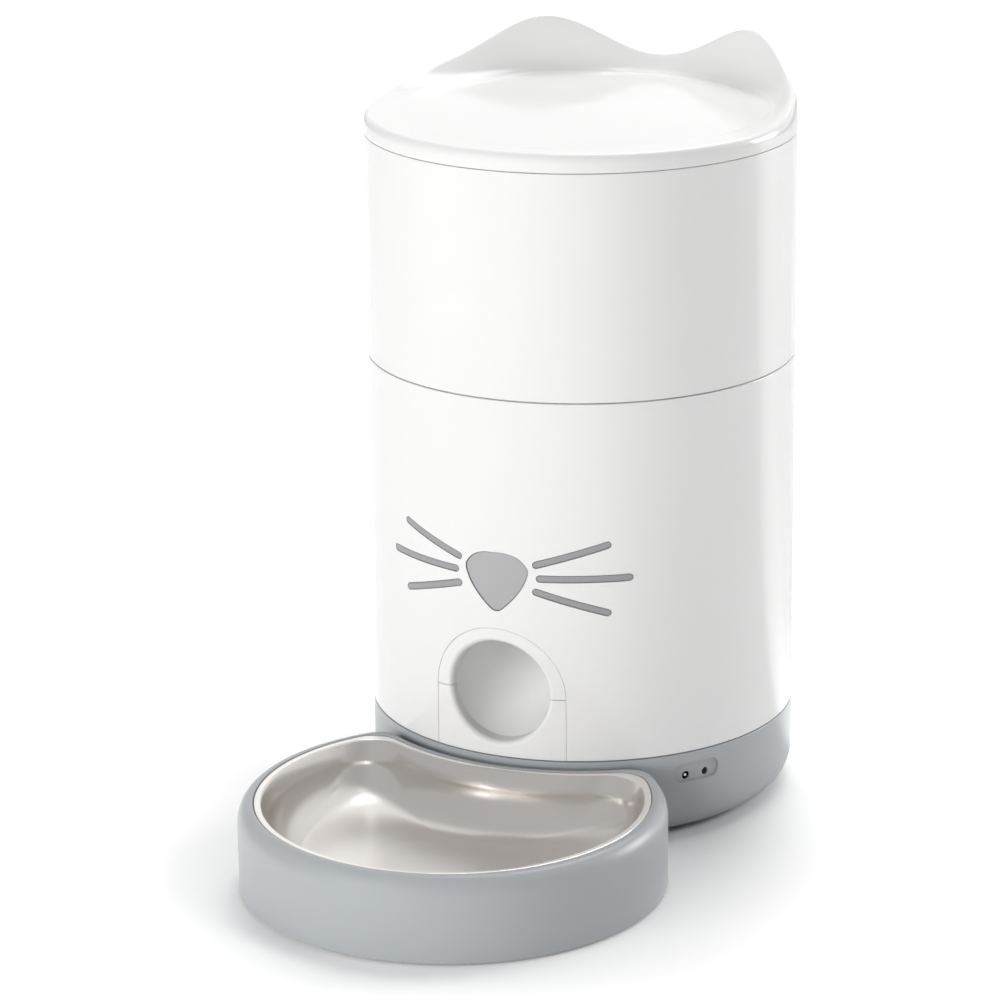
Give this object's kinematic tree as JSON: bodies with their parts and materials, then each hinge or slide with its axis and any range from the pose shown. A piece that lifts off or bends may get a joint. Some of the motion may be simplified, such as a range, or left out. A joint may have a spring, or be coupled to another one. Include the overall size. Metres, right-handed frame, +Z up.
{
  "type": "smart pet feeder",
  "caption": "Round automatic dry-food feeder for cats: eared lid, lift-out bin, pocket rotor with geared drive, arched chute and a crescent steel bowl in its tray.",
  "frame": {"origin": "on the floor, at the middle of the whole object's footprint, body and tray together", "axes": "+Z up, -Y towards the front where the bowl is, +X to the viewer's right when facing the front"},
  "size_m": [0.196, 0.339, 0.3432],
  "materials": {
    "white_gloss": "glossy white moulded plastic",
    "grey_plastic": "satin cool grey moulded plastic",
    "nose_grey": "satin mid grey",
    "whisker_grey": "satin mid grey inlay",
    "steel": "polished stainless steel",
    "bin_plastic": "light grey food-grade plastic",
    "silicone": "pale silicone",
    "rubber": "black rubber",
    "inner_plastic": "dark grey inner mouldings",
    "gear_plastic": "ivory acetal",
    "board_green": "green circuit board",
    "brass": "bright brass pin",
    "zinc": "zinc-plated steel",
    "cell_wrap": "plain dark cell sleeve",
    "bag_paper": "plain fibre paper"
  },
  "bodies": {
    "root": {"upper_shell": "white_gloss", "lower_shell": "white_gloss", "base_pan": "grey_plastic", "battery_box": "inner_plastic", "battery_cell_1": "cell_wrap", "battery_cell_2": "cell_wrap", "battery_cell_3": "cell_wrap", "contact_front": "zinc", "contact_rear": "zinc", "chute_hood": "white_gloss", "chute_front": "white_gloss", "chute_duct": "white_gloss", "nose_board": "board_green", "whisker_left_1": "whisker_grey", "whisker_left_2": "whisker_grey", "whisker_left_3": "whisker_grey", "whisker_right_1": "whisker_grey", "whisker_right_2": "whisker_grey", "whisker_right_3": "whisker_grey", "drive_frame": "inner_plastic", "gearbox_case": "inner_plastic", "gearbox_cover": "inner_plastic", "gearbox_screw_1": "zinc", "gearbox_screw_2": "zinc", "motor": "zinc", "idler_pin": "zinc", "main_board": "board_green", "dc_jack": "inner_plastic", "dc_pin": "brass", "foot_1": "rubber", "foot_2": "rubber", "foot_3": "rubber", "foot_4": "rubber", "case_screw_1": "zinc", "case_screw_2": "zinc", "case_screw_3": "zinc", "case_screw_4": "zinc"},
    "bin": {"hopper": "bin_plastic", "rotor_housing": "bin_plastic", "rotor_baffle": "bin_plastic"},
    "lid": {"lid": "white_gloss", "lid_seal": "silicone", "desiccant_bag": "bag_paper"},
    "desiccant": {"desiccant_cap": "bin_plastic"},
    "rotor": {"portion_rotor": "gear_plastic", "stirrer": "gear_plastic"},
    "output": {"output_gear": "gear_plastic", "drive_coupler": "gear_plastic"},
    "idler": {"idler_gear": "gear_plastic"},
    "pinion": {"motor_pinion": "gear_plastic"},
    "nose": {"nose_button": "nose_grey"},
    "reset": {"reset_button": "silicone"},
    "door": {"battery_door": "grey_plastic"},
    "tray": {"bowl_tray": "grey_plastic", "tray_bottom": "grey_plastic", "tray_foot_1": "rubber", "tray_foot_2": "rubber", "tray_foot_3": "rubber"},
    "bowl": {"steel_bowl": "steel"}
  },
  "joints": [
    {"name": "hopper_lift", "type": "slide", "parent": "root", "child": "bin", "axis": [0, 0, 1], "range_m": [0, 0.17]},
    {"name": "lid_lift", "type": "slide", "parent": "bin", "child": "lid", "axis": [0, 0, 1], "range_m": [0, 0.06]},
    {"name": "desiccant_twist", "type": "hinge", "parent": "lid", "child": "desiccant", "pos_m": [0, 0.0715, 0.3037], "axis": [0, 0, 1], "range_deg": [0, 30]},
    {"name": "rotor_spin", "type": "hinge", "parent": "bin", "child": "rotor", "pos_m": [0, 0.0715, 0.1276], "axis": [0, 0, 1], "continuous": true},
    {"name": "output_spin", "type": "hinge", "parent": "root", "child": "output", "pos_m": [0, 0.0715, 0.11], "axis": [0, 0, 1], "continuous": true},
    {"name": "idler_spin", "type": "hinge", "parent": "root", "child": "idler", "pos_m": [0.01819, 0.082, 0.105], "axis": [0, 0, 1], "continuous": true},
    {"name": "pinion_spin", "type": "hinge", "parent": "root", "child": "pinion", "pos_m": [0.00859, 0.09863, 0.1], "axis": [0, 0, 1], "continuous": true},
    {"name": "nose_press", "type": "slide", "parent": "root", "child": "nose", "axis": [0, 1, 0], "range_m": [0, 0.0012], "stiffness_N_per_m": 1500, "springref_m": -0.0006},
    {"name": "reset_press", "type": "slide", "parent": "root", "child": "reset", "axis": [-0.8462, 0.5329, 0], "range_m": [0, 0.0008], "stiffness_N_per_m": 1500, "springref_m": -0.0004},
    {"name": "battery_door_open", "type": "hinge", "parent": "root", "child": "door", "pos_m": [0, 0.0675, 0.001], "axis": [-1, 0, 0], "range_deg": [0, 75]},
    {"name": "tray_pull", "type": "slide", "parent": "root", "child": "tray", "axis": [0, -1, 0], "range_m": [0, 0.08]},
    {"name": "bowl_lift", "type": "slide", "parent": "tray", "child": "bowl", "axis": [0, 0, 1], "range_m": [0, 0.06]}
  ],
  "couplings": [
    {"joint": "output_spin", "follows": "rotor_spin", "ratio": 1},
    {"joint": "idler_spin", "follows": "rotor_spin", "ratio": -2},
    {"joint": "pinion_spin", "follows": "rotor_spin", "ratio": 6}
  ]
}
